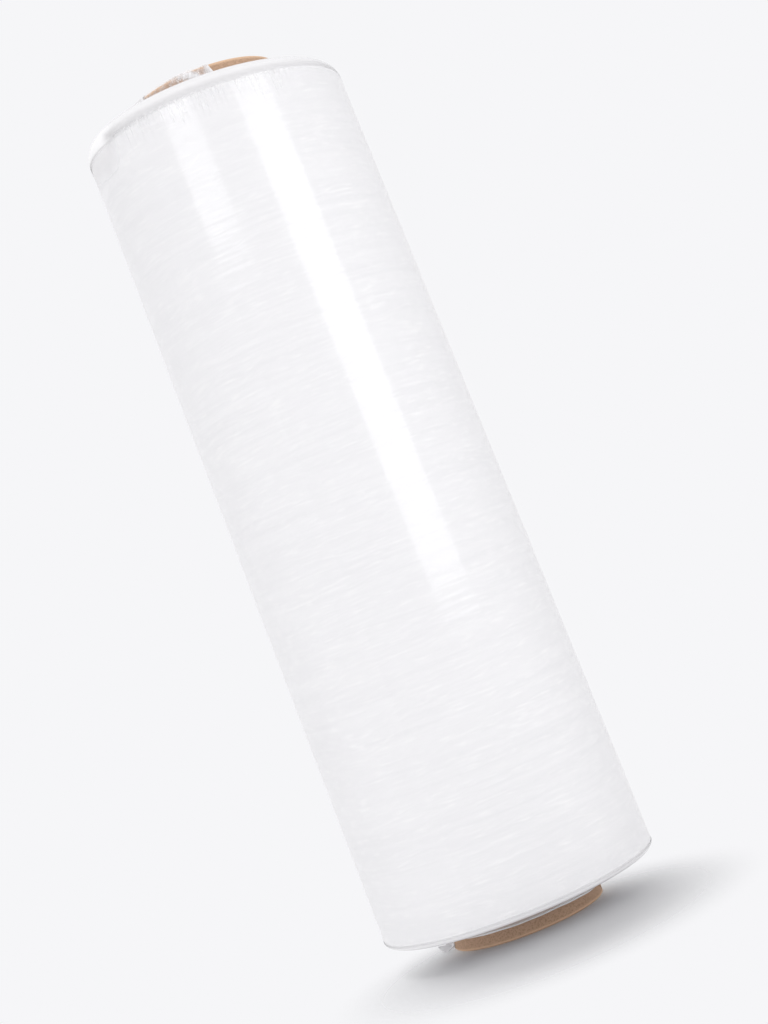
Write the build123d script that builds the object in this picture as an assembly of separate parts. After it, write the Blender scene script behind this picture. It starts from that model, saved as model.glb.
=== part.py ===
from build123d import *
from dataclasses import dataclass
import math
import os

# A hand roll of stretch film: a paperboard core, the film's turns, and a clear overwrap that is pleated
# round both shoulders and gathered on to the core. It stands on the core's lower end, +Z along its axis.
# Lengths are in millimetres and angles in degrees. Direction 0 is +X and direction -90 faces the viewer.

# Core: a paperboard tube, open right through, that stands proud of the film at both ends
core_bore_diameter = 76.2
core_wall = 4.1
core_length = 480.0
core_rim_break = 0.6

# Winding: all the turns as one sleeve on the core, fuller towards the lower end and drawn in at the edges
film_width = 450.0
winding_lower_diameter = 152.0
winding_upper_diameter = 144.6
edge_draw_in = 3.4
turn_bands = 3
turn_step = 0.35

# Overwrap: the clear outer film, with pleats round the shoulders, a cone to the core and a collar on it
wrap_thickness = 0.4
shoulder_round = 10.5
shoulder_bulge = 3.8
pleat_count = 64
pleat_depth = 0.7
pleat_reach = 5.0
skirt_rise = 8.6
collar_height = 0.8
collar_wave = 2.4

# Gathers: where the wrap climbs the core to its rim, wrinkled, on one side of each end
gather_depth = 1.1
gather_ramp_angle = 12.0
upper_gather_direction = -160.0
upper_gather_half_angle = 72.0
lower_gather_direction = 170.0
lower_gather_half_angle = 36.0
rim_lip = 0.8
floor_gap = 0.4

# Shares of the shoulder's turn, of the pleat depth there and on the skirt, and of the way along the skirt
shoulder_turn_shares = (0.0, 0.3, 0.65, 1.0)
shoulder_crest_shares = (0.7, 1.0, 0.9, 0.5)
skirt_middle_share = 0.45
skirt_crest_share = 0.2
least_crest_share = 0.35
cap_share = 0.5

# Uneven crests: two waves of these lengths, counted in pleats
crest_waves = (1.85, 5.15)

core_bore_radius = core_bore_diameter / 2
core_radius = core_bore_radius + core_wall
core_overhang = (core_length - film_width) / 2
film_bottom = core_overhang
film_top = core_overhang + film_width

# The turns draw in from where the wrap's shoulder leaves their side
edge_drop = shoulder_round - shoulder_bulge


@dataclass(frozen=True)
class End:
    """One end of the roll: the winding's radius and height there, which way is out, the wrap's gather."""

    radius: float
    height: float
    outward: int
    climb: float
    gather_direction: float
    gather_half_angle: float

    def shoulder_centre(self):
        """Radius and rise of the centre of the wrap's shoulder; a rise is a height beyond the film's end."""
        return self.radius + wrap_thickness - shoulder_round, shoulder_bulge - shoulder_round

    def shoulder_turn(self):
        """Turn of the shoulder, in radians, at which the skirt leaves it in a straight line for the core."""
        centre_radius, centre_rise = self.shoulder_centre()
        inward = centre_radius - core_radius - wrap_thickness
        up = skirt_rise - centre_rise
        return math.atan2(up, -inward) - math.acos(shoulder_round / math.hypot(inward, up))

    def on_shoulder(self, turn_share, out):
        """Radius and rise of a point on the shoulder, standing out from the wrap by that much."""
        centre_radius, centre_rise = self.shoulder_centre()
        turn = turn_share * self.shoulder_turn()
        reach = shoulder_round + out
        return centre_radius + reach * math.cos(turn), centre_rise + reach * math.sin(turn)

    def gather(self, direction):
        """How far the wrap has climbed the core in a direction: 1 in the gather, 0 clear of it."""
        away = abs((direction - self.gather_direction + 180) % 360 - 180)
        return min(max((self.gather_half_angle + gather_ramp_angle - away) / gather_ramp_angle, 0), 1)


lower_end = End(
    radius=winding_lower_diameter / 2,
    height=film_bottom,
    outward=-1,
    climb=core_overhang - floor_gap,
    gather_direction=lower_gather_direction,
    gather_half_angle=lower_gather_half_angle,
)
upper_end = End(
    radius=winding_upper_diameter / 2,
    height=film_top,
    outward=1,
    climb=core_overhang + wrap_thickness,
    gather_direction=upper_gather_direction,
    gather_half_angle=upper_gather_half_angle,
)


def core_tube():
    """The tube, with the sharp edges of both rims broken."""
    wall = Cylinder(core_radius, core_length) - Cylinder(core_bore_radius, core_length)
    rims = wall.edges().filter_by(GeomType.CIRCLE)
    return Pos(0, 0, core_length / 2) * chamfer(rims, core_rim_break)


def end_outline(end):
    """Points of an end of the turns from the core outwards: stepped bands, then the drawn-in edge."""
    band = (end.radius - edge_draw_in - core_radius) / turn_bands
    points = []
    for index in range(turn_bands):
        inset = turn_step if index % 2 else 0
        height = end.height - end.outward * inset
        points.append((core_radius + index * band, height))
        points.append((core_radius + (index + 1) * band, height))
    points.append((end.radius, end.height - end.outward * edge_drop))
    return points


def winding_section():
    """Half section of the turns, radius across and height up; their side is one smooth line."""
    lower = end_outline(lower_end)
    upper = end_outline(upper_end)
    side = Spline(lower[-1], upper[-1])
    ends = Polyline(upper[::-1] + lower)
    return make_face([*side.edges(), *ends.edges()])


def film_winding():
    """The turns as one turned sleeve on the core."""
    return revolve(Plane.XZ * winding_section(), Axis.Z)


def crest(index):
    """Share of the pleat depth at a point of a ring: none in the valleys, uneven on the crests."""
    if index % 2 == 0:
        return 0
    short, long = (math.sin(math.pi * index / length) for length in crest_waves)
    return least_crest_share + (1 - least_crest_share) * abs(short * long)


def ring(end, corners, place):
    """A closed polygon round the axis; place gives each corner's radius and rise."""
    points = []
    for index in range(corners):
        direction = 360 * index / corners
        radius, rise = place(index, direction)
        turn = math.radians(direction)
        points.append((radius * math.cos(turn), radius * math.sin(turn), end.height + end.outward * rise))
    return Wire.make_polygon(points, close=True)


def wrap_rings(end):
    """Rings of the wrap's outside at one end, from its plain side to a cap inside the bore."""
    skirt_foot = (core_radius + wrap_thickness, skirt_rise)

    def side(index, direction):
        radius, rise = end.on_shoulder(0, 0)
        return radius, rise - pleat_reach

    def shoulder(turn_share, crest_share):
        def place(index, direction):
            return end.on_shoulder(turn_share, pleat_depth * crest_share * crest(index))

        return place

    def skirt(index, direction):
        start = end.on_shoulder(1, 0)
        radius, rise = (a + (b - a) * skirt_middle_share for a, b in zip(start, skirt_foot))
        pleat = pleat_depth * skirt_crest_share * crest(index)
        return radius, rise + pleat + gather_depth * end.gather(direction)

    def foot(index, direction):
        wrinkle = gather_depth * end.gather(direction) * crest(index)
        return skirt_foot[0] + wrinkle, skirt_rise

    def collar(index, direction):
        radius, rise = foot(index, direction)
        wave = (1 + math.cos(math.radians(direction))) / 2
        low = rise + collar_height + collar_wave * wave
        return radius, low + (end.climb - low) * end.gather(direction)

    def rim(index, direction):
        return core_bore_radius + rim_lip, collar(index, direction)[1]

    def cap(index, direction):
        return core_bore_radius * cap_share, core_overhang + wrap_thickness

    shoulders = [shoulder(*shares) for shares in zip(shoulder_turn_shares, shoulder_crest_shares)]
    places = (side, *shoulders, skirt, foot, collar, rim, cap)
    return [ring(end, 2 * pleat_count, place) for place in places]


def form_rings(end):
    """Rings round what the wrap is drawn over at one end: turns, hollow skirt, core and clear bore."""
    clear_bore = core_bore_radius + rim_lip
    outline = [end.on_shoulder(share, -wrap_thickness) for share in shoulder_turn_shares]
    outline.append((core_radius, skirt_rise))
    outline.append((core_radius, core_overhang))
    outline.append((clear_bore, core_overhang))
    outline.append((clear_bore, 2 * core_overhang))

    def around(radius, rise):
        corner_radius = radius / math.cos(math.pi / pleat_count)
        return lambda index, direction: (corner_radius, rise)

    return [ring(end, pleat_count, around(*point)) for point in outline]


def overwrap():
    """The clear film: a pleated skin on the winding and the core, hollow under its skirts."""
    outside = Solid.make_loft(wrap_rings(lower_end)[::-1] + wrap_rings(upper_end), ruled=True)
    inside = Solid.make_loft(form_rings(lower_end)[::-1] + form_rings(upper_end), ruled=True)
    return outside - inside


os.makedirs("parts", exist_ok=True)
export_step(core_tube(), "parts/core_tube.step")
export_step(film_winding(), "parts/film_winding.step")
export_step(overwrap(), "parts/overwrap.step")
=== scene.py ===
import math
import random
from dataclasses import dataclass

import bmesh
import bpy
from mathutils import Matrix, Vector


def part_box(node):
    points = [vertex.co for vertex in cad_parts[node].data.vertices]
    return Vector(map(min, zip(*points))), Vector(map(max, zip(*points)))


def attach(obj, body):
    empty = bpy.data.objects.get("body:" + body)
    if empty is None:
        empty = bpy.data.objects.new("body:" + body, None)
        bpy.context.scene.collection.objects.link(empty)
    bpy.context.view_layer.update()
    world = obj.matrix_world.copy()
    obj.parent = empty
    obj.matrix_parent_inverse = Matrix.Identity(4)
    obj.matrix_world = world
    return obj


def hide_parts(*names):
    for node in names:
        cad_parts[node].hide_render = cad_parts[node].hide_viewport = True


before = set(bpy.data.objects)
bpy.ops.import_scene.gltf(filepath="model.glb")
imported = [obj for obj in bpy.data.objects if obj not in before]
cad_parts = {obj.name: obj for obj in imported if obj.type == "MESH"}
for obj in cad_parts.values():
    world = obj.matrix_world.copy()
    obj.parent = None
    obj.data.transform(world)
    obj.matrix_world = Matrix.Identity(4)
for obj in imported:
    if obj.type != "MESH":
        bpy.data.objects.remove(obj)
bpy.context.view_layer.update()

MM = 0.001

# Core tube
# A spiral-wound paperboard tube, open right through and a little longer than the film is wide. Plies of
# kraft paper are glued round a mandrel, and the tube is sawn to length, with its sharp edges taken off.
core_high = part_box("core_tube")[1]
core_radius = core_high.x
core_length = core_high.z
core_wall = 4.1 * MM
core_bore_radius = core_radius - core_wall
core_rim_break = 0.6 * MM
core_steps = 256
core_crease = 30

fibre_length = 2.4 * MM
fibre_width = 0.7 * MM
fibre_relief = 0.1 * MM
speck_size = 0.9 * MM
rim_pale_start = 1.7 * MM
rim_pale_full = 0.7 * MM
seam_lead = 118 * MM
# Cosines of the turn away from the seam where its tone starts and is full: 1.2 and 0.6 mm round the tube.
seam_start = 0.9996
seam_full = 0.9999


def linear(colour):
    """Linear value of an sRGB hex colour."""
    shares = [int(colour[place : place + 2], 16) / 255 for place in (1, 3, 5)]
    return (*[s / 12.92 if s <= 0.04045 else ((s + 0.055) / 1.055) ** 2.4 for s in shares], 1)


def new_material(name):
    """A material and its shader."""
    material = bpy.data.materials.new(name)
    material.use_nodes = True
    return material, material.node_tree.nodes["Principled BSDF"]


def add_node(owner, kind, inputs, **settings):
    """Adds a node with its settings; an input is a value or the output of another node."""
    node = owner.node_tree.nodes.new(kind)
    for name, value in settings.items():
        setattr(node, name, value)
    for socket, value in inputs.items():
        if isinstance(value, bpy.types.NodeSocket):
            owner.node_tree.links.new(value, node.inputs[socket])
        else:
            node.inputs[socket].default_value = value
    return node


def turned(outline, steps):
    """A mesh turned from a closed half section of (radius, height) points."""
    mesh = bmesh.new()
    section = [mesh.verts.new((radius, 0, height)) for radius, height in outline]
    edges = [mesh.edges.new(pair) for pair in zip(section, section[1:] + section[:1])]
    bmesh.ops.spin(
        mesh,
        geom=section + edges,
        axis=(0, 0, 1),
        cent=(0, 0, 0),
        angle=math.tau,
        steps=steps,
        use_merge=True,
    )
    bmesh.ops.recalc_face_normals(mesh, faces=mesh.faces)
    return mesh


def show(name, mesh, material, node, crease):
    """Shows a mesh in place of a CAD node; edges that turn by more degrees than the crease stay sharp."""
    data = bpy.data.meshes.new(name)
    mesh.to_mesh(data)
    mesh.free()
    data.shade_smooth()
    data.set_sharp_from_angle(angle=math.radians(crease))
    data.materials.append(material)
    piece = bpy.data.objects.new(name, data)
    bpy.context.scene.collection.objects.link(piece)
    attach(piece, "root")
    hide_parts(node)


core_section = [
    (core_bore_radius, core_rim_break),
    (core_bore_radius + core_rim_break, 0),
    (core_radius - core_rim_break, 0),
    (core_radius, core_rim_break),
    (core_radius, core_length - core_rim_break),
    (core_radius - core_rim_break, core_length),
    (core_bore_radius + core_rim_break, core_length),
    (core_bore_radius, core_length - core_rim_break),
]

# Kraft paperboard: dull brown, with fine fibres round the tube, a thin dark butt seam along the spiral and
# a paler line along each rim. The specks are drawn larger than real fibres, to show.
kraft, kraft_shader = new_material("kraft paperboard")
kraft_shader.inputs["Roughness"].default_value = 0.78
kraft_place = add_node(kraft, "ShaderNodeTexCoord", {}).outputs["Object"]
kraft_axes = add_node(kraft, "ShaderNodeSeparateXYZ", {0: kraft_place}).outputs
fibre_place = add_node(
    kraft,
    "ShaderNodeMapping",
    {"Vector": kraft_place, "Scale": (1 / fibre_length, 1 / fibre_length, 1 / fibre_width)},
).outputs["Vector"]
fibre = add_node(
    kraft, "ShaderNodeTexNoise", {"Vector": fibre_place, "Scale": 1.0, "Detail": 3.0}
).outputs["Fac"]
fibre_tone = add_node(
    kraft, "ShaderNodeMix", {0: fibre, 6: linear("#A98970"), 7: linear("#C9A78E")}, data_type="RGBA"
).outputs[2]
speck_place = add_node(
    kraft, "ShaderNodeMapping", {"Vector": kraft_place, "Scale": [1 / speck_size] * 3}
).outputs["Vector"]
speck = add_node(
    kraft, "ShaderNodeTexVoronoi", {"Vector": speck_place, "Scale": 1.0}
).outputs["Distance"]
speck_share = add_node(
    kraft,
    "ShaderNodeMapRange",
    {"Value": speck, "From Min": 0.2, "From Max": 0.5, "To Min": 0.6, "To Max": 0.0},
).outputs["Result"]
speck_tone = add_node(
    kraft, "ShaderNodeMix", {0: speck_share, 6: fibre_tone, 7: linear("#85684F")}, data_type="RGBA"
).outputs[2]
middle_height = add_node(
    kraft, "ShaderNodeMath", {0: kraft_axes["Z"], 1: core_length / 2}, operation="SUBTRACT"
).outputs[0]
middle_way = add_node(kraft, "ShaderNodeMath", {0: middle_height}, operation="ABSOLUTE").outputs[0]
rim_share = add_node(
    kraft,
    "ShaderNodeMapRange",
    {
        "Value": middle_way,
        "From Min": core_length / 2 - rim_pale_start,
        "From Max": core_length / 2 - rim_pale_full,
    },
).outputs["Result"]
# Paler towards each rim: fully so within 0.7 mm of it, easing in from 1.7 mm.
rim_pale_tone = add_node(
    kraft, "ShaderNodeMix", {0: rim_share, 6: speck_tone, 7: linear("#D8B698")}, data_type="RGBA"
).outputs[2]
seam_turn = add_node(
    kraft, "ShaderNodeMath", {0: kraft_axes["Y"], 1: kraft_axes["X"]}, operation="ARCTAN2"
).outputs[0]
seam_rise = add_node(
    kraft, "ShaderNodeMath", {0: kraft_axes["Z"], 1: math.tau / seam_lead}, operation="MULTIPLY"
).outputs[0]
seam_phase = add_node(kraft, "ShaderNodeMath", {0: seam_turn, 1: seam_rise}, operation="ADD").outputs[0]
seam_wave = add_node(kraft, "ShaderNodeMath", {0: seam_phase}, operation="COSINE").outputs[0]
seam_share = add_node(
    kraft,
    "ShaderNodeMapRange",
    {"Value": seam_wave, "From Min": seam_start, "From Max": seam_full, "To Max": 0.5},
).outputs["Result"]
kraft_tone = add_node(
    kraft, "ShaderNodeMix", {0: seam_share, 6: rim_pale_tone, 7: linear("#6E533F")}, data_type="RGBA"
).outputs[2]
kraft.node_tree.links.new(kraft_tone, kraft_shader.inputs["Base Color"])
kraft_grain = add_node(
    kraft, "ShaderNodeBump", {"Height": fibre, "Strength": 0.3, "Distance": fibre_relief}
).outputs["Normal"]
kraft.node_tree.links.new(kraft_grain, kraft_shader.inputs["Normal"])

show("kraft_core", turned(core_section, core_steps), kraft, "core_tube", core_crease)

# Winding
# Some five hundred metres of thin polyethylene film wound tightly on the core. The clear film turns milky
# white in many layers, and the air between them shows as fine streaks round the roll.
film_low, film_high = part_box("film_winding")
film_bottom = film_low.z
film_top = film_high.z
winding_lower_radius = film_high.x
winding_upper_radius = 72.3 * MM
lower_draw_in = 1.5 * MM
lower_drop = 2.4 * MM
upper_draw_in = 3.4 * MM
upper_drop = 6.7 * MM
winding_inset = 0.06 * MM
turn_band = 1.1 * MM
turn_band_share = 0.9
turn_step = 0.16 * MM
turn_step_pace = 1.3
winding_steps = 256
winding_crease = 20

streak_length = 90 * MM
streak_width = 2.2 * MM
dash_length = 9 * MM
dash_width = 1.3 * MM


def side_radius(height):
    """Radius of the turns at a height on their side, fuller towards the lower end."""
    start = film_bottom + lower_drop
    share = (height - start) / (film_top - upper_drop - start)
    return winding_lower_radius + (winding_upper_radius - winding_lower_radius) * share


def winding_end(radius, edge, outward, draw_in, drop):
    """Points of one end of the turns from the core outwards: shallow steps, then the drawn-in edge."""
    width = radius - draw_in - core_radius
    bands = int(width / turn_band)
    points = []
    for band in range(bands):
        step = turn_step * (band % 2) + turn_step * math.sin(band * turn_step_pace)
        height = edge - outward * (turn_step + step)
        points.append((core_radius + width * band / bands, height))
        points.append((core_radius + width * (band + turn_band_share) / bands, height))
    points.append((radius - winding_inset, edge - outward * drop))
    return points


lower_points = winding_end(winding_lower_radius, film_bottom, -1, lower_draw_in, lower_drop)
upper_points = winding_end(winding_upper_radius, film_top, 1, upper_draw_in, upper_drop)
winding_section = lower_points + upper_points[::-1]

# Wound polyethylene film: milky white and smooth, a little grey, with streaks of trapped air that run
# round the roll and short pale dashes between them.
milky, milky_shader = new_material("wound polyethylene film")
milky_shader.inputs["Roughness"].default_value = 0.3
milky_shader.inputs["IOR"].default_value = 1.5
milky_shader.inputs["Coat Weight"].default_value = 1.0
milky_shader.inputs["Coat Roughness"].default_value = 0.1
milky_place = add_node(milky, "ShaderNodeTexCoord", {}).outputs["Object"]
streak_place = add_node(
    milky,
    "ShaderNodeMapping",
    {"Vector": milky_place, "Scale": (1 / streak_length, 1 / streak_length, 1 / streak_width)},
).outputs["Vector"]
streak = add_node(
    milky, "ShaderNodeTexNoise", {"Vector": streak_place, "Scale": 1.0, "Detail": 4.0}
).outputs["Fac"]
dash_place = add_node(
    milky,
    "ShaderNodeMapping",
    {"Vector": milky_place, "Scale": (1 / dash_length, 1 / dash_length, 1 / dash_width)},
).outputs["Vector"]
dash = add_node(
    milky, "ShaderNodeTexNoise", {"Vector": dash_place, "Scale": 1.0, "Detail": 2.0}
).outputs["Fac"]
dash_share = add_node(
    milky, "ShaderNodeMapRange", {"Value": dash, "From Min": 0.55, "From Max": 0.75}
).outputs["Result"]
streak_tone = add_node(
    milky, "ShaderNodeMix", {0: streak, 6: linear("#E3E3E6"), 7: linear("#F6F6F7")}, data_type="RGBA"
).outputs[2]
milky_tone = add_node(
    milky, "ShaderNodeMix", {0: dash_share, 6: streak_tone, 7: linear("#FAFAFA")}, data_type="RGBA"
).outputs[2]
milky.node_tree.links.new(milky_tone, milky_shader.inputs["Base Color"])

show("wound_film", turned(winding_section, winding_steps), milky, "film_winding", winding_crease)

# Overwrap
# A last sleeve of clear film, drawn over both ends of the roll while it is stretched. It pleats round the
# upper shoulder, runs as a taut cone to the core and is gathered there. At the upper end it is tucked over
# the core's rim, part of it as a slack tent, and at the lower end it lies out on the floor as a frill.
wrap_thickness = 0.4 * MM
wrap_lift = 0.1 * MM
wrap_steps = 600
wrap_crease = 50
ease_angle = 12

pleat_run = 16.0 * MM
pleat_spacing = 3.2 * MM
pleat_half_angle = 32
least_pleat_share = 0.12
pleat_shift_share = 0.35
pleat_half_steps = (0.9, 1.9)
pleat_depth_shares = (0.2, 1)
pleat_run_shares = (0.2, 0.25, 0.3, 0.4, 0.5)
pleat_shoulder_share = 0.09
pleat_random = random.Random(7)

skirt_sway = 0.2 * MM
skirt_swell = 0.7 * MM
least_wrinkle = 0.08 * MM
wrinkle_depth = 0.4 * MM
pressed_share = 0.75
collar_length = 0.6 * MM
collar_wave_share = 0.2
frill_height = 1.5 * MM
frill_wave = 1.1 * MM
frill_floor_gap = 0.6 * MM
frill_bend = 5 * MM
frill_crumple = 2.5 * MM


def wave(turn, count, swing=0, swing_count=0, phase=0):
    """A wave that closes round the roll, its crests swung to and fro so that they are uneven."""
    return math.sin(count * turn + swing * math.sin(swing_count * turn) + phase)


def swept(direction, middle, half_angle):
    """1 within an angle of a direction round the roll, easing to 0 over the next few degrees."""
    away = abs((direction - middle + 180) % 360 - 180)
    share = min(max((half_angle + ease_angle - away) / ease_angle, 0), 1)
    return share * share * (3 - 2 * share)


@dataclass
class WrapEnd:
    """One end of the overwrap. Directions and half angles are in degrees, and a rise is beyond the edge."""

    radius: float
    edge: float
    outward: int
    shoulder_round: float
    shoulder_bulge: float
    skirt_rise: float
    skirt_slant: float
    pleat_depth: float
    gather_direction: float
    gather_half_angle: float
    tent_direction: float
    tent_half_angle: float
    tent_lift: float
    far_drop: float
    pleat_direction: float
    skirt_milkiness: float
    tail_milkiness: float
    tail_length: float
    climbs_over: bool

    def __post_init__(self):
        self.overhang = core_length - self.edge if self.outward > 0 else self.edge
        self.centre_radius = self.radius + wrap_thickness - self.shoulder_round
        self.centre_rise = self.shoulder_bulge - self.shoulder_round
        inward = self.centre_radius - core_radius - wrap_thickness
        up = self.skirt_rise - self.centre_rise
        self.turn = math.atan2(up, -inward) - math.acos(self.shoulder_round / math.hypot(inward, up))
        self.pleats = self.lay_pleats()

    def lay_pleats(self):
        """Depth of the pleats and their share of the run down the side, at each step round the roll."""
        count = int(math.tau * self.radius / pleat_spacing)
        depths = [0.0] * wrap_steps
        runs = [pleat_run_shares[0]] * wrap_steps
        for pleat in range(count):
            shift = pleat_random.uniform(-pleat_shift_share, pleat_shift_share)
            middle = wrap_steps * (pleat + shift) / count
            half_width = pleat_random.uniform(*pleat_half_steps)
            faced = swept(360 * pleat / count, self.pleat_direction, pleat_half_angle)
            drawn = least_pleat_share + (1 - least_pleat_share) * faced
            depth = pleat_random.uniform(*pleat_depth_shares) * drawn * self.pleat_depth
            run = pleat_random.choice(pleat_run_shares)
            for step in range(math.floor(middle - half_width), math.ceil(middle + half_width) + 1):
                share = max(1 - abs(step - middle) / half_width, 0)
                if depth * share > depths[step % wrap_steps]:
                    depths[step % wrap_steps] = depth * share
                    runs[step % wrap_steps] = run
        return list(zip(depths, runs))

    def crest(self, zone, share, step):
        """How far a pleat stands out: it runs down the side and ends crisply where the shoulder starts."""
        depth, run = self.pleats[step]
        return depth * max(1 - share / (run if zone == "side" else pleat_shoulder_share), 0)

    def gather(self, direction):
        """How far the wrap has climbed the core in a direction: 1 in the gather, 0 clear of it."""
        return swept(direction, self.gather_direction, self.gather_half_angle)

    def tent(self, direction):
        """Where the skirt runs straight to the core's rim, milky and slack: 1 there, 0 clear of it."""
        return swept(direction, self.tent_direction, self.tent_half_angle)

    def lift(self, direction):
        """How much further out the shoulder stands: most towards the tent, less than nothing opposite."""
        nearness = (1 + math.cos(math.radians(direction - self.tent_direction))) / 2
        return self.tent_lift * nearness**2 - self.far_drop * (1 - nearness) ** 2

    def foot(self, direction):
        """Rise of the skirt's foot on the core, which slants, sways and reaches the rim in the tent."""
        turn = math.radians(direction)
        slant = self.skirt_slant * max(math.cos(turn), 0) ** 2
        sway = wave(turn, 3, phase=0.6) + 0.6 * wave(turn, 7) + 0.3 * wave(turn, 17)
        foot = self.skirt_rise + slant + skirt_sway * sway * (1 - self.gather(direction))
        return foot + (self.overhang - wrap_thickness - foot) * self.tent(direction)

    def wrinkle(self, direction):
        """How far the gathered film stands off the core, in uneven folds."""
        fold = 0.5 + 0.5 * wave(math.radians(direction), 41, swing=6, swing_count=5)
        return self.gather(direction) * (least_wrinkle + wrinkle_depth * fold * fold)

    def skirt(self, share, inset, direction):
        """Radius and rise on the cone, which swells a little where it leads to the gather."""
        reach = self.shoulder_round - inset
        start_radius = self.centre_radius + reach * math.cos(self.turn)
        start_rise = self.centre_rise + reach * math.sin(self.turn) + self.lift(direction)
        end_radius = core_radius + wrap_lift + wrap_thickness - inset + share * self.wrinkle(direction)
        end_rise = self.foot(direction) - inset
        uneven = 0.6 + 0.4 * wave(math.radians(direction), 23)
        swell = skirt_swell * self.gather(direction) * math.sin(math.pi * share) * uneven
        radius = start_radius + (end_radius - start_radius) * share
        return radius, start_rise + (end_rise - start_rise) * share + swell

    def tuck(self, way, off, foot):
        """Radius and rise after a way along the core, up its side, over its rim and down its bore."""
        climb = self.overhang - foot
        bend = off * math.pi / 2
        if way < climb:
            return core_radius + off, foot + way
        way -= climb
        if way < bend:
            turn = way / off
            return core_radius + off * math.cos(turn), self.overhang + off * math.sin(turn)
        way -= bend
        if way < core_wall:
            return core_radius - way, self.overhang + off
        way -= core_wall
        if way < bend:
            turn = way / off
            return core_bore_radius - off * math.sin(turn), self.overhang + off * math.cos(turn)
        return core_bore_radius - off, self.overhang - (way - bend)

    def frill(self, way, off, foot, turn):
        """Radius and rise after a way down the core and out along the floor in a loose frill."""
        height = frill_height + frill_wave * wave(turn, 29, swing=4, swing_count=3)
        climb = self.overhang - foot - height - frill_floor_gap
        if way < climb:
            return core_radius + off, foot + way
        out = way - climb
        crumple = 0.6 + 0.4 * wave(turn, 17, phase=out / frill_crumple)
        drop = height * min(out / frill_bend, 1) * crumple
        return core_radius + off + out, foot + climb + drop - off / 2

    def tail(self, share, inset, direction):
        """Radius and rise on the core, from the skirt's foot to the free edge of the film."""
        turn = math.radians(direction)
        off = wrap_lift + wrap_thickness - inset + self.wrinkle(direction) * (1 - pressed_share * share)
        collar = collar_length * (1 + collar_wave_share * wave(turn, 5))
        way = share * share * (collar + (self.tail_length - collar) * self.gather(direction))
        if self.climbs_over:
            return self.tuck(way, off, self.foot(direction))
        return self.frill(way, off, self.foot(direction), turn)

    def place(self, zone, share, inset, step):
        """Radius and height of a point of the wrap; share runs towards the core through each zone."""
        direction = 360 * step / wrap_steps
        if zone == "side":
            rise = self.centre_rise - share * pleat_run + self.lift(direction) * (1 - share)
            height = self.edge + self.outward * rise
            return side_radius(height) + wrap_thickness + self.crest(zone, share, step) - inset, height
        if zone == "shoulder":
            reach = self.shoulder_round + self.crest(zone, share, step) - inset
            radius = self.centre_radius + reach * math.cos(share * self.turn)
            rise = self.centre_rise + reach * math.sin(share * self.turn) + self.lift(direction)
        elif zone == "skirt":
            radius, rise = self.skirt(share, inset, direction)
        else:
            radius, rise = self.tail(share, inset, direction)
        return radius, self.edge + self.outward * rise


# A half angle of minus the ease leaves no tent at the lower end.
lower_wrap = WrapEnd(
    radius=winding_lower_radius,
    edge=film_bottom,
    outward=-1,
    shoulder_round=3.6 * MM,
    shoulder_bulge=0.8 * MM,
    skirt_rise=7.4 * MM,
    skirt_slant=1.5 * MM,
    pleat_depth=0,
    gather_direction=152,
    gather_half_angle=34,
    tent_direction=152,
    tent_half_angle=-ease_angle,
    tent_lift=0,
    far_drop=0,
    pleat_direction=-90,
    skirt_milkiness=0.95,
    tail_milkiness=0.5,
    tail_length=12.5 * MM,
    climbs_over=False,
)
upper_wrap = WrapEnd(
    radius=winding_upper_radius,
    edge=film_top,
    outward=1,
    shoulder_round=10.5 * MM,
    shoulder_bulge=3.8 * MM,
    skirt_rise=8.6 * MM,
    skirt_slant=3.2 * MM,
    pleat_depth=0.28 * MM,
    gather_direction=-160,
    gather_half_angle=72,
    tent_direction=-190,
    tent_half_angle=45,
    tent_lift=3.0 * MM,
    far_drop=1.3 * MM,
    pleat_direction=-90,
    skirt_milkiness=0.83,
    tail_milkiness=0.05,
    tail_length=24.0 * MM,
    climbs_over=True,
)


@dataclass
class Ring:
    """A ring of the wrap, at a height on its plain side or at a share of a zone of one end."""

    inset: float
    height: float = 0
    end: WrapEnd = None
    zone: str = ""
    share: float = 0


outer_zones = {"side": 8, "shoulder": 11, "skirt": 7, "tail": 11}
inner_zones = {"side": 1, "shoulder": 4, "skirt": 2, "tail": 6}
outer_side_rings = 50
inner_side_rings = 8
side_start = film_bottom + upper_drop + pleat_run
side_end = film_top - upper_drop - pleat_run


def end_rings(end, zones, inset):
    """Rings of one end, from the side to the free edge; those of the side crowd to the shoulder."""
    rings = []
    for zone, count in zones.items():
        shares = [index / count for index in range(count)]
        if zone == "side":
            shares = [(1 - share) ** 2 for share in shares]
        if zone == "tail":
            shares.append(1.0)
        rings += [Ring(inset, end=end, zone=zone, share=share) for share in shares]
    return rings


def side_rings(count, inset):
    """Rings of the plain side from the lower end to the upper end."""
    reach = side_end - side_start
    return [Ring(inset, height=side_start + reach * (index + 1) / (count + 1)) for index in range(count)]


rings = (
    end_rings(lower_wrap, outer_zones, 0)[::-1]
    + side_rings(outer_side_rings, 0)
    + end_rings(upper_wrap, outer_zones, 0)
    + end_rings(upper_wrap, inner_zones, wrap_thickness)[::-1]
    + side_rings(inner_side_rings, wrap_thickness)[::-1]
    + end_rings(lower_wrap, inner_zones, wrap_thickness)
)

ripple_lift = 0.1 * MM
ripple_ease = 20 * MM
long_ripple = 0.05 * MM
long_ripple_length = 23 * MM
long_ripple_swing = 1.4
short_ripple = 0.04 * MM
short_ripple_length = 9.7 * MM
short_ripple_swing = 2.1


def film_ripple(height, turn):
    """How far the film stands off the turns on the side, in slow waves that wander round the roll."""
    long_wave = math.sin(height / long_ripple_length + long_ripple_swing * math.sin(turn))
    short_wave = math.sin(height / short_ripple_length + short_ripple_swing * math.sin(2 * turn + 1))
    return ripple_lift + long_ripple * long_wave + short_ripple * short_wave


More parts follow.
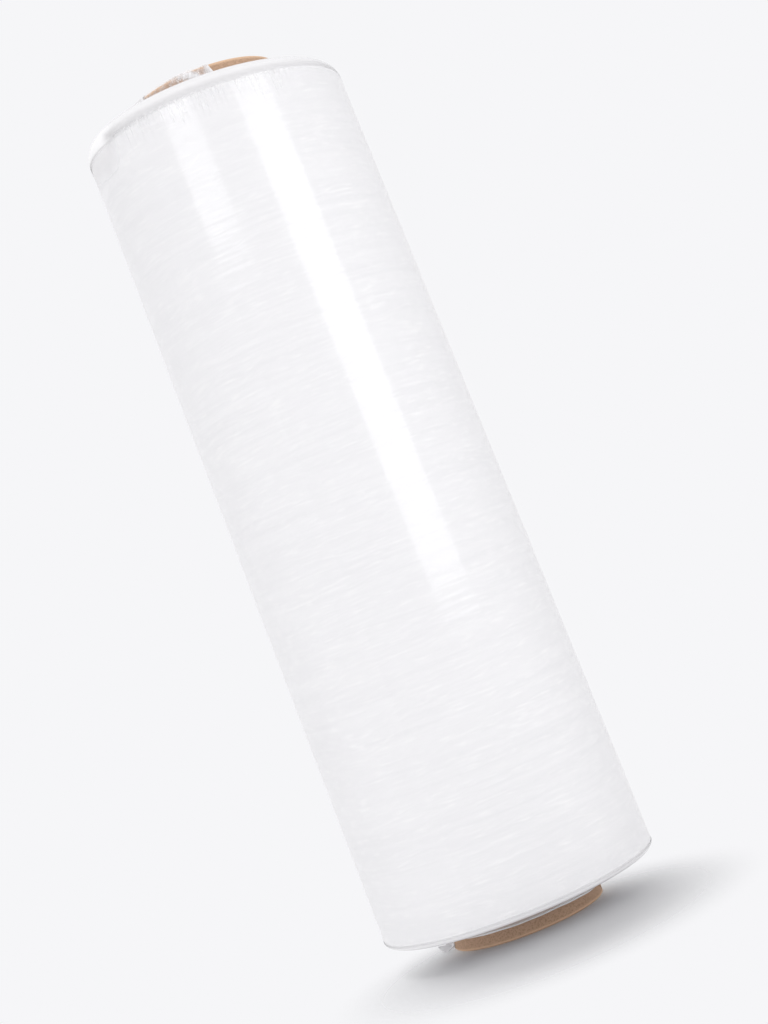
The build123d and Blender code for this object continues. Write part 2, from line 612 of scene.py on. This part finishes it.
def wrap_place(ring, step):
    """Radius and height of the wrap's point at a ring and a step round the roll."""
    if ring.end:
        return ring.end.place(ring.zone, ring.share, ring.inset, step)
    ease = min((ring.height - side_start) / ripple_ease, (side_end - ring.height) / ripple_ease, 1)
    ripple = 0 if ring.inset else ease * film_ripple(ring.height, math.tau * step / wrap_steps)
    return side_radius(ring.height) + wrap_thickness + ripple - ring.inset, ring.height


# Milkiness runs from 0, clear, to 1, white. On the side it stays under a quarter, so that the render's
# noise filter keeps the streaks of the film below.
side_milkiness = 0.23
tent_milkiness = 0.95
# Whiter pleat crests are a painted highlight.
pleat_highlight_milkiness = 0.2
fold_milkiness = 0.7
crease_milkiness = 0.25
tent_tail_milkiness = 0.8
shoulder_milky_share = 0.4
tent_side_share = 0.1


def wrap_milkiness(ring, step):
    """How milky the film is: even on the side, white on the skirt and the tent, clear in the gathers, and
    whiter on the pleat crests as a painted highlight.
    """
    if not ring.end:
        return side_milkiness
    end, zone, share = ring.end, ring.zone, ring.share
    direction = 360 * step / wrap_steps
    turn = math.radians(direction)
    tent = end.tent(direction)
    whitest = end.skirt_milkiness + (tent_milkiness - end.skirt_milkiness) * tent
    if zone == "skirt":
        return whitest
    if zone == "tail":
        fold = max(wave(turn, 11, swing=1.4, swing_count=5, phase=5 * share), 0) ** 3
        crease = max(wave(turn, 61, swing=2, swing_count=11, phase=-16 * share), 0) ** 3
        gathered = end.tail_milkiness + fold_milkiness * fold + crease_milkiness * crease
        gathered = min(gathered + tent_tail_milkiness * tent, tent_milkiness)
        return whitest + (gathered - whitest) * end.gather(direction)
    if zone == "shoulder":
        drawn = max(min(share / shoulder_milky_share, 1), tent)
    else:
        drawn = max(1 - share / tent_side_share, 0) * tent
    # Painted highlight: the film is whiter along the pleat crests.
    painted_pleat_highlight = pleat_highlight_milkiness * end.crest(zone, share, step) / upper_wrap.pleat_depth
    return side_milkiness + (whitest - side_milkiness) * drawn + painted_pleat_highlight


# The sheet starts flat, a column for each step round the roll and a row for each ring. It is then rolled
# up, with the inner face inside the outer one, and its edges are joined.
join_gap = 0.001 * MM
wrap_mesh = bmesh.new()
milkiness = wrap_mesh.verts.layers.float.new("milkiness")
bmesh.ops.create_grid(wrap_mesh, x_segments=wrap_steps, y_segments=len(rings), size=0.5)
for vert in wrap_mesh.verts:
    step = round((vert.co.x + 0.5) * wrap_steps) % wrap_steps
    ring = rings[round((vert.co.y + 0.5) * len(rings)) % len(rings)]
    radius, height = wrap_place(ring, step)
    turn = math.tau * step / wrap_steps
    vert.co = (radius * math.cos(turn), radius * math.sin(turn), height)
    vert[milkiness] = wrap_milkiness(ring, step)
bmesh.ops.remove_doubles(wrap_mesh, verts=wrap_mesh.verts, dist=join_gap)
bmesh.ops.recalc_face_normals(wrap_mesh, faces=wrap_mesh.faces)

# Clear stretch film: thin and glossy, milky where it is stretched, with fine slack ripples that break up
# what it mirrors. Two belts of the side have short bars across, where the film has slipped.
slack_length = 45 * MM
slack_width = 5 * MM
slack_share = 0.18
bar_length = 30 * MM
bar_width = 4.5 * MM
film_relief_depth = 0.25 * MM
bar_belt_shares = ((0.22, 0.26, 0.38, 0.41), (0.72, 0.75, 0.82, 0.84))

clear, clear_shader = new_material("clear stretch film")
clear_shader.inputs["Base Color"].default_value = linear("#F7F6F8")
clear_shader.inputs["Roughness"].default_value = 0.1
clear_shader.inputs["IOR"].default_value = 1.5
clear_shader.inputs["Specular IOR Level"].default_value = 0.9
stretched = add_node(clear, "ShaderNodeAttribute", {}, attribute_name="milkiness").outputs["Fac"]
clear.node_tree.links.new(stretched, clear_shader.inputs["Alpha"])
clear_place = add_node(clear, "ShaderNodeTexCoord", {}).outputs["Object"]
slack_place = add_node(
    clear,
    "ShaderNodeMapping",
    {"Vector": clear_place, "Scale": (1 / slack_length, 1 / slack_length, 1 / slack_width)},
).outputs["Vector"]
slack = add_node(
    clear, "ShaderNodeTexNoise", {"Vector": slack_place, "Scale": 1.0, "Detail": 3.0}
).outputs["Fac"]
bar_place = add_node(
    clear,
    "ShaderNodeMapping",
    {"Vector": clear_place, "Scale": (1 / bar_length, 1 / bar_length, 1 / bar_width)},
).outputs["Vector"]
bar = add_node(
    clear, "ShaderNodeTexNoise", {"Vector": bar_place, "Scale": 1.0, "Detail": 1.0}
).outputs["Fac"]
clear_height = add_node(clear, "ShaderNodeSeparateXYZ", {0: clear_place}).outputs["Z"]
height_share = add_node(
    clear, "ShaderNodeMath", {0: clear_height, 1: core_length}, operation="DIVIDE"
).outputs[0]
bar_belts = add_node(clear, "ShaderNodeValToRGB", {"Fac": height_share})
bar_belts.color_ramp.elements[-1].color = (0, 0, 0, 1)
for belt in bar_belt_shares:
    for place, level in zip(belt, (0, 1, 1, 0)):
        bar_belts.color_ramp.elements.new(place).color = (level, level, level, 1)
bar_relief = add_node(
    clear, "ShaderNodeMath", {0: bar, 1: bar_belts.outputs["Color"]}, operation="MULTIPLY"
).outputs[0]
film_relief = add_node(
    clear, "ShaderNodeMath", {0: slack, 1: slack_share, 2: bar_relief}, operation="MULTIPLY_ADD"
).outputs[0]
film_bump = add_node(
    clear, "ShaderNodeBump", {"Height": film_relief, "Strength": 1.0, "Distance": film_relief_depth}
).outputs["Normal"]
clear.node_tree.links.new(film_bump, clear_shader.inputs["Normal"])

show("clear_overwrap", wrap_mesh, clear, "overwrap", wrap_crease)

# Studio
# A grey table that fades into a white backdrop; its grey round the core is a painted shadow. Two soft boxes
# in front draw the two bright strips on the film. The room, the fills, the bounce and the lamps above light
# the rest, and the film doesn't mirror them.
table_reach = 0.19
table_segments = 96
# The fade's middle sits in front of the core, which places the painted shadow there.
painted_shadow_middle = (0.005, -0.06, 0)
painted_shadow_start = 0.04
painted_shadow_end = 0.12
room_level = 0.66

table_mesh = bmesh.new()
bmesh.ops.create_circle(table_mesh, cap_ends=True, segments=table_segments, radius=table_reach)
table_data = bpy.data.meshes.new("table")
table_mesh.to_mesh(table_data)
table_mesh.free()
table = bpy.data.objects.new("table", table_data)
bpy.context.scene.collection.objects.link(table)

# Matt laminate, dull and grey, faded out round a point just in front of the core: the grey is a painted
# shadow, and it also catches the roll's real shadow.
shadow_painted_table, shadow_painted_shader = new_material("matt grey laminate with painted shadow")
# This grey, darker than the backdrop, paints the shadow round the core.
shadow_painted_shader.inputs["Base Color"].default_value = linear("#C8C8CA")
shadow_painted_shader.inputs["Roughness"].default_value = 0.9
shadow_painted_shader.inputs["Specular IOR Level"].default_value = 0.1
table_place = add_node(shadow_painted_table, "ShaderNodeTexCoord", {}).outputs["Object"]
table_way = add_node(
    shadow_painted_table, "ShaderNodeVectorMath", {0: table_place, 1: painted_shadow_middle}, operation="DISTANCE"
).outputs["Value"]
painted_shadow_share = add_node(
    shadow_painted_table,
    "ShaderNodeMapRange",
    {
        "Value": table_way,
        "From Min": painted_shadow_start,
        "From Max": painted_shadow_end,
        "To Min": 1.0,
        "To Max": 0.0,
    },
    interpolation_type="SMOOTHSTEP",
).outputs["Result"]
shadow_painted_table.node_tree.links.new(painted_shadow_share, shadow_painted_shader.inputs["Alpha"])
table_data.materials.append(shadow_painted_table)

world = bpy.data.worlds.new("white studio")
bpy.context.scene.world = world
world.use_nodes = True
world.node_tree.nodes.clear()
rays = add_node(world, "ShaderNodeLightPath", {}).outputs
seen = add_node(
    world, "ShaderNodeMath", {0: rays["Is Camera Ray"], 1: rays["Is Glossy Ray"]}, operation="MAXIMUM"
).outputs[0]
seen = add_node(
    world, "ShaderNodeMath", {0: seen, 1: rays["Is Transmission Ray"]}, operation="MAXIMUM"
).outputs[0]
room = add_node(world, "ShaderNodeBackground", {"Color": linear("#FFFFFF"), "Strength": room_level})
backdrop = add_node(world, "ShaderNodeBackground", {"Color": linear("#F6F6F8"), "Strength": 1.0})
surroundings = add_node(
    world, "ShaderNodeMixShader", {0: seen, 1: room.outputs[0], 2: backdrop.outputs[0]}
)
add_node(world, "ShaderNodeOutputWorld", {"Surface": surroundings.outputs[0]})


def soft_box(name, place, aim, width, height, level, mirrored=False):
    """A soft box that faces a point, as bright as a white surface times its level."""
    lamp = bpy.data.lights.new(name, "AREA")
    lamp.shape = "RECTANGLE"
    lamp.size = width
    lamp.size_y = height
    lamp.energy = level * width * height * math.pi
    box = bpy.data.objects.new(name, lamp)
    box.location = place
    box.rotation_euler = (Vector(aim) - Vector(place)).to_track_quat("-Z", "Y").to_euler()
    box.visible_camera = False
    box.visible_glossy = mirrored
    bpy.context.scene.collection.objects.link(box)


roll_middle = (0, 0, core_length / 2)
roll_top = (0, 0, core_length)
soft_box(
    "right soft box",
    place=(0.64, -0.79, 0.49),
    aim=(0, 0, 0.49),
    width=0.56,
    height=0.59,
    level=2.0,
    mirrored=True,
)
soft_box(
    "left soft box",
    place=(-0.45, -0.95, 0.81),
    aim=(0, 0, 0.81),
    width=0.52,
    height=0.4,
    level=1.6,
    mirrored=True,
)
soft_box("front fill", place=(-0.2, -1.35, 0.33), aim=(0, 0, 0.2), width=1.8, height=1.1, level=0.66)
soft_box("floor bounce", place=(-0.1, -0.85, -0.22), aim=(0, 0, 0.05), width=1.2, height=0.5, level=0.45)
soft_box("overhead lamp", place=(-0.2, 0.2, 1.5), aim=roll_middle, width=0.4, height=0.4, level=8.0)
soft_box("back lamp", place=(-0.55, 1.1, 1.45), aim=roll_top, width=0.6, height=0.6, level=8.0)
soft_box("right fill", place=(1.17, -0.25, 0.3), aim=roll_middle, width=0.9, height=0.9, level=1.2)
soft_box("left fill", place=(-1.17, -0.25, 0.1), aim=(0, 0, 0.15), width=0.9, height=0.7, level=1.9)

# Camera
# It looks a little up at the roll from about a metre, and is turned so that the roll leans to the left.
lens = 63.28
sensor_height = 36
camera_distance = 970.8 * MM
camera_pitch = math.radians(3.11)
camera_tilt = math.radians(21.51)
roll_right = -10.79 * MM
roll_down = -6.53 * MM

# The roll's own directions as the camera has them: to the right, down and away from it.
across = Vector((math.cos(camera_tilt), -math.sin(camera_tilt), 0))
upward = Vector(
    (
        -math.sin(camera_tilt) * math.cos(camera_pitch),
        -math.cos(camera_tilt) * math.cos(camera_pitch),
        math.sin(camera_pitch),
    )
)
seen_axes = Matrix((across, upward.cross(across), upward))
camera_place = Vector(roll_middle) - seen_axes @ Vector((roll_right, roll_down, camera_distance))
camera_axes = Matrix((seen_axes.col[0], -seen_axes.col[1], -seen_axes.col[2])).transposed()

camera_data = bpy.data.cameras.new("camera")
camera_data.lens = lens
camera_data.sensor_fit = "VERTICAL"
camera_data.sensor_height = sensor_height
camera = bpy.data.objects.new("camera", camera_data)
camera.matrix_world = Matrix.Translation(camera_place) @ camera_axes.to_4x4()
bpy.context.scene.collection.objects.link(camera)
bpy.context.scene.camera = camera

bpy.context.scene.view_settings.view_transform = "Standard"
